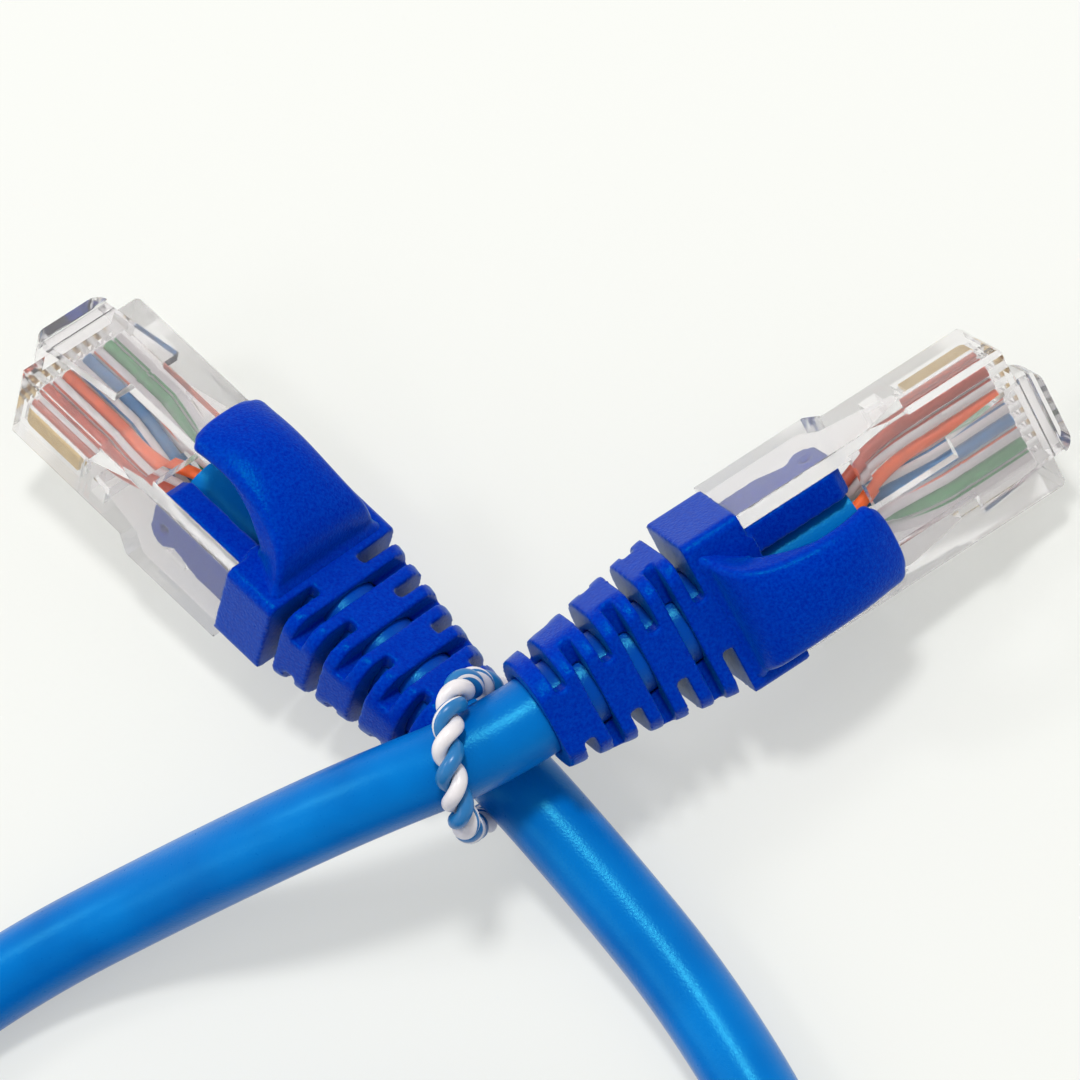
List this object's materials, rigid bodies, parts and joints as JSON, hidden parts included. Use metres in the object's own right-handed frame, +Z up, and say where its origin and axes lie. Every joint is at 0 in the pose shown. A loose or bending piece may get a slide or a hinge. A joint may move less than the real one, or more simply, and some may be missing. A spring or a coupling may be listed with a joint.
{
  "type": "ethernet patch cable",
  "caption": "Blue network patch cable with two clear modular plugs, hooded boots with slotted strain relief, crossed leads held by a twisted wire tie, and a round storage coil.",
  "frame": {"origin": "centre of the plan outline of the two plugs, boots and tie, on the surface they lie on", "axes": "+Z up; +X from plug a towards plug b, left to right in the picture; +Y away from the viewer, with the leads running off towards -Y"},
  "size_m": [0.0995, 0.1407, 0.0185],
  "materials": {
    "clear_plastic": "clear gloss",
    "boot_blue": "satin",
    "jacket_blue": "gloss",
    "gold_contact": "polished",
    "tie_blue": "gloss",
    "tie_white": "gloss",
    "wire_brown": "satin",
    "wire_white_brown": "satin",
    "wire_orange": "satin",
    "wire_white_blue": "satin",
    "wire_blue": "satin",
    "wire_white_orange": "satin",
    "wire_green": "satin",
    "wire_white_green": "satin"
  },
  "bodies": {
    "cable": {"plug_housing_a": "clear_plastic", "contacts_a": "gold_contact", "conductor_brown_a": "wire_brown", "conductor_white_brown_a": "wire_white_brown", "conductor_orange_a": "wire_orange", "conductor_white_blue_a": "wire_white_blue", "conductor_blue_a": "wire_blue", "conductor_white_orange_a": "wire_white_orange", "conductor_green_a": "wire_green", "conductor_white_green_a": "wire_white_green", "jacket_end_a": "jacket_blue", "boot_a": "boot_blue", "plug_housing_b": "clear_plastic", "contacts_b": "gold_contact", "conductor_brown_b": "wire_brown", "conductor_white_brown_b": "wire_white_brown", "conductor_orange_b": "wire_orange", "conductor_white_blue_b": "wire_white_blue", "conductor_blue_b": "wire_blue", "conductor_white_orange_b": "wire_white_orange", "conductor_green_b": "wire_green", "conductor_white_green_b": "wire_white_green", "jacket_end_b": "jacket_blue", "boot_b": "boot_blue", "cable_lead_a": "jacket_blue", "cable_lead_b": "jacket_blue", "cable_coil": "jacket_blue", "tie_wire_blue": "tie_blue", "tie_wire_white": "tie_white"},
    "hood_a": {"hood_a": "boot_blue"},
    "latch_a": {"latch_a": "clear_plastic"},
    "hood_b": {"hood_b": "boot_blue"},
    "latch_b": {"latch_b": "clear_plastic"}
  },
  "joints": [
    {"name": "hood_a_press", "type": "hinge", "parent": "cable", "child": "hood_a", "pos_m": [-0.01554, 0.00328, 0.01277], "axis": [-0.6023, -0.63, 0.4902], "range_deg": [0, 16], "stiffness_Nm_per_rad": 0.001},
    {"name": "latch_a_press", "type": "hinge", "parent": "cable", "child": "latch_a", "pos_m": [-0.03245, 0.01828, 0.01127], "axis": [0.6023, 0.63, -0.4902], "range_deg": [0, 5.5], "stiffness_Nm_per_rad": 0.001},
    {"name": "hood_b_press", "type": "hinge", "parent": "cable", "child": "hood_b", "pos_m": [0.0196, -0.00674, 0.0146], "axis": [-0.2945, 0.6421, 0.7079], "range_deg": [0, 11], "stiffness_Nm_per_rad": 0.001},
    {"name": "latch_b_press", "type": "hinge", "parent": "cable", "child": "latch_b", "pos_m": [0.03629, 0.0074, 0.00872], "axis": [0.2945, -0.6421, -0.7079], "range_deg": [0, 5.5], "stiffness_Nm_per_rad": 0.001}
  ],
  "couplings": [
    {"joint": "latch_a_press", "follows": "hood_a_press", "ratio": 0.34375},
    {"joint": "latch_b_press", "follows": "hood_b_press", "ratio": 0.5}
  ]
}
